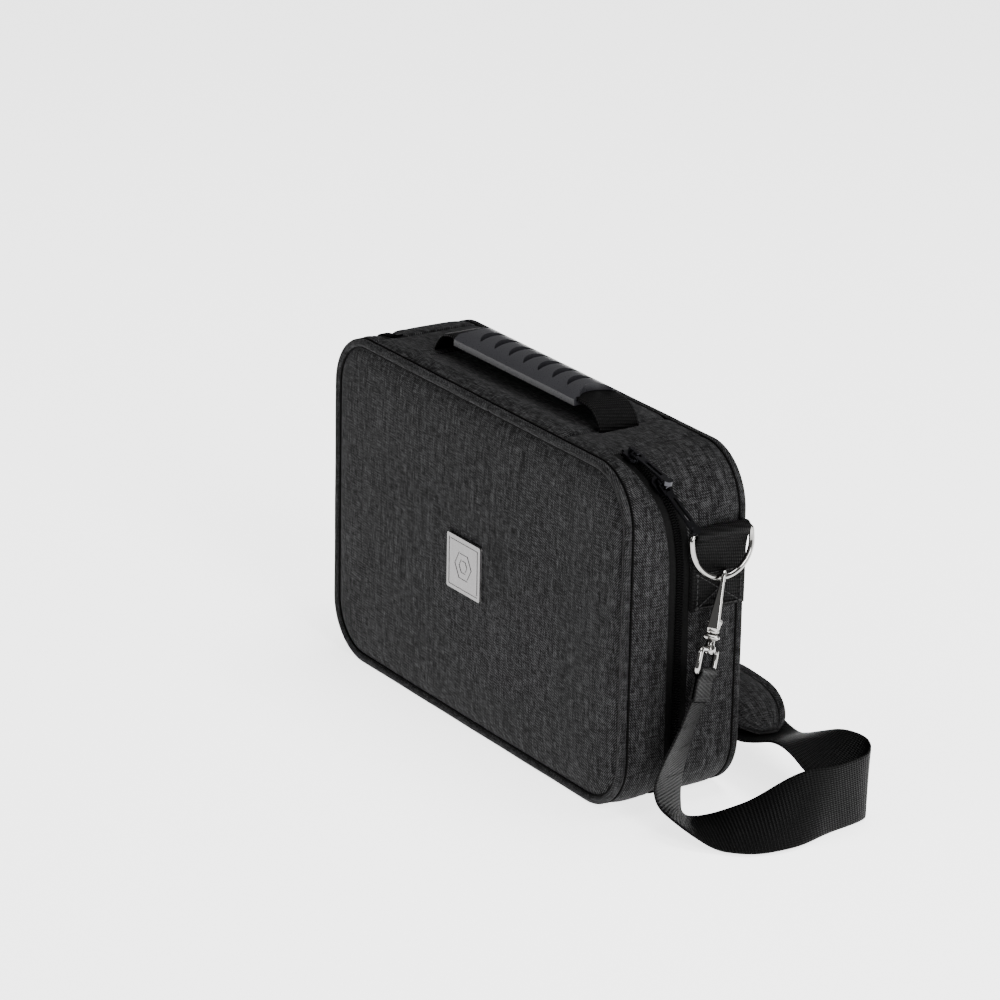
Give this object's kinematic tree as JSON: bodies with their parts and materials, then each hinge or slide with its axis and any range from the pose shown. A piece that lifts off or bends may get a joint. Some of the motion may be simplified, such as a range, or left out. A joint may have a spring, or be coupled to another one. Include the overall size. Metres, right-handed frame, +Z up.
{
  "type": "miniature carry case",
  "caption": "Padded fabric carry case for tabletop miniatures, zip-opening lid, ribbed grip handle, badge plate and a detachable shoulder strap on snap hooks.",
  "frame": {"origin": "on the floor under the middle of the case", "axes": "+X to the case's right side as seen from the front, -Y out of the front panel, +Z up"},
  "size_m": [0.4228, 0.1778, 0.2144],
  "materials": {
    "badge_metal": "vertically brushed metal plate",
    "black_nickel": "dark polished zinc",
    "grip_rubber": "satin moulded soft plastic",
    "heather_fabric": "matt heather-woven polyester, charcoal with lighter flecks",
    "lining_cloth": "plain woven polyester lining",
    "nickel": "polished nickel-plated zinc and steel",
    "pad_fabric": "heather cloth top on an air-mesh pad",
    "piping_fabric": "the same cloth over a round cord core",
    "soft_foam": "open-cell foam sheet, matt",
    "strap_plastic": "moulded acetal",
    "tray_foam": "closed-cell polyethylene foam, matt",
    "webbing": "ribbed polypropylene webbing, slightly glossy",
    "zip_tape": "fine herringbone zip tape",
    "zip_teeth": "moulded nylon coil"
  },
  "bodies": {
    "root": {"back_panel": "heather_fabric", "body_gusset": "heather_fabric", "top_panel": "heather_fabric", "top_cap_right": "heather_fabric", "top_cap_left": "heather_fabric", "back_piping": "piping_fabric", "body_lining": "lining_cloth", "zip_tape_body": "zip_tape", "zip_teeth_body": "zip_teeth", "zip_stops": "black_nickel", "tray_front_base": "tray_foam", "tray_front_grid": "tray_foam", "tray_rear_base": "tray_foam", "tray_rear_grid": "tray_foam", "strap_right_fall": "webbing", "strap_right_run": "webbing", "strap_right_rise": "webbing", "strap_left_fall": "webbing", "strap_left_run": "webbing", "shoulder_pad": "pad_fabric", "strap_adjuster": "strap_plastic", "web_patch_right": "webbing", "web_patch_left": "webbing"},
    "lid": {"front_panel": "heather_fabric", "front_piping": "piping_fabric", "lid_gusset": "heather_fabric", "lid_top_panel": "heather_fabric", "lid_cap_right": "heather_fabric", "lid_cap_left": "heather_fabric", "lid_lining": "lining_cloth", "lid_foam": "soft_foam", "zip_tape_lid": "zip_tape", "zip_teeth_lid": "zip_teeth", "badge_plate": "badge_metal"},
    "handle": {"handle_webbing": "webbing", "handle_grip": "grip_rubber"},
    "lower_slider": {"slider_lower": "black_nickel"},
    "upper_slider": {"slider_upper": "black_nickel"},
    "lower_tab": {"pull_tab_lower": "black_nickel"},
    "upper_tab": {"pull_tab_upper": "black_nickel"},
    "ring_right": {"d_ring_right": "nickel"},
    "hook_right": {"snap_hook_right": "nickel", "gate_pin_right": "nickel"},
    "gate_lever_right": {"gate_right": "nickel"},
    "eye_right": {"swivel_eye_right": "nickel", "strap_end_right": "webbing"},
    "ring_left": {"d_ring_left": "nickel"},
    "hook_left": {"snap_hook_left": "nickel", "gate_pin_left": "nickel"},
    "gate_lever_left": {"gate_left": "nickel"},
    "eye_left": {"swivel_eye_left": "nickel", "strap_end_left": "webbing"}
  },
  "joints": [
    {"name": "lid_fold", "type": "hinge", "parent": "root", "child": "lid", "pos_m": [0, -0.025, 0.196], "axis": [-1, 0, 0], "range_deg": [0, 90]},
    {"name": "handle_flop", "type": "hinge", "parent": "root", "child": "handle", "pos_m": [0, 0, 0.197], "axis": [1, 0, 0], "range_deg": [-18, 18], "stiffness_Nm_per_rad": 0.03},
    {"name": "slider_lower_travel", "type": "hinge", "parent": "root", "child": "lower_slider", "pos_m": [0.11545, -0.01471, 0.16149], "axis": [-0.2133, 0.9474, 0.2388], "range_deg": [0, 25]},
    {"name": "pull_tab_lower_flip", "type": "hinge", "parent": "lower_slider", "child": "lower_tab", "pos_m": [0.1461, -0.01417, 0.18651], "axis": [0.1998, -0.9505, -0.2381], "range_deg": [0, 70]},
    {"name": "slider_upper_travel", "type": "hinge", "parent": "root", "child": "upper_slider", "pos_m": [0.12001, -0.00295, 0.1777], "axis": [0.1175, 0.7361, 0.6666], "range_deg": [0, 5]},
    {"name": "pull_tab_upper_flip", "type": "hinge", "parent": "upper_slider", "child": "upper_tab", "pos_m": [0.12715, -0.01946, 0.19892], "axis": [0.0489, -0.9987, -0.0122], "range_deg": [0, 110]},
    {"name": "d_ring_right_swing", "type": "hinge", "parent": "root", "child": "ring_right", "pos_m": [0.1538, 0.0195, 0.157], "axis": [0, -1, 0], "range_deg": [0, 90]},
    {"name": "snap_hook_right_swing", "type": "hinge", "parent": "ring_right", "child": "hook_right", "pos_m": [0.15732, 0.0195, 0.13195], "axis": [0, -1, 0], "range_deg": [0, 85]},
    {"name": "swivel_right_turn", "type": "hinge", "parent": "hook_right", "child": "eye_right", "pos_m": [0.15748, 0.01921, 0.13111], "axis": [0.1769, -0.3268, -0.9284], "range_deg": [0, 75]},
    {"name": "gate_right_press", "type": "hinge", "parent": "hook_right", "child": "gate_lever_right", "pos_m": [0.15796, 0.01439, 0.10748], "axis": [0.6497, 0.7474, -0.1393], "range_deg": [0, 16], "stiffness_Nm_per_rad": 0.01, "springref_deg": -5.73},
    {"name": "d_ring_left_swing", "type": "hinge", "parent": "root", "child": "ring_left", "pos_m": [-0.1538, 0.0195, 0.157], "axis": [0, 1, 0], "range_deg": [0, 90]},
    {"name": "snap_hook_left_swing", "type": "hinge", "parent": "ring_left", "child": "hook_left", "pos_m": [-0.15732, 0.0195, 0.13195], "axis": [0, 1, 0], "range_deg": [0, 85]},
    {"name": "swivel_left_turn", "type": "hinge", "parent": "hook_left", "child": "eye_left", "pos_m": [-0.15748, 0.01979, 0.13111], "axis": [-0.1769, 0.3268, -0.9284], "range_deg": [0, 75]},
    {"name": "gate_left_press", "type": "hinge", "parent": "hook_left", "child": "gate_lever_left", "pos_m": [-0.15796, 0.02461, 0.10748], "axis": [-0.6497, -0.7474, -0.1393], "range_deg": [0, 16], "stiffness_Nm_per_rad": 0.01, "springref_deg": -5.73}
  ]
}
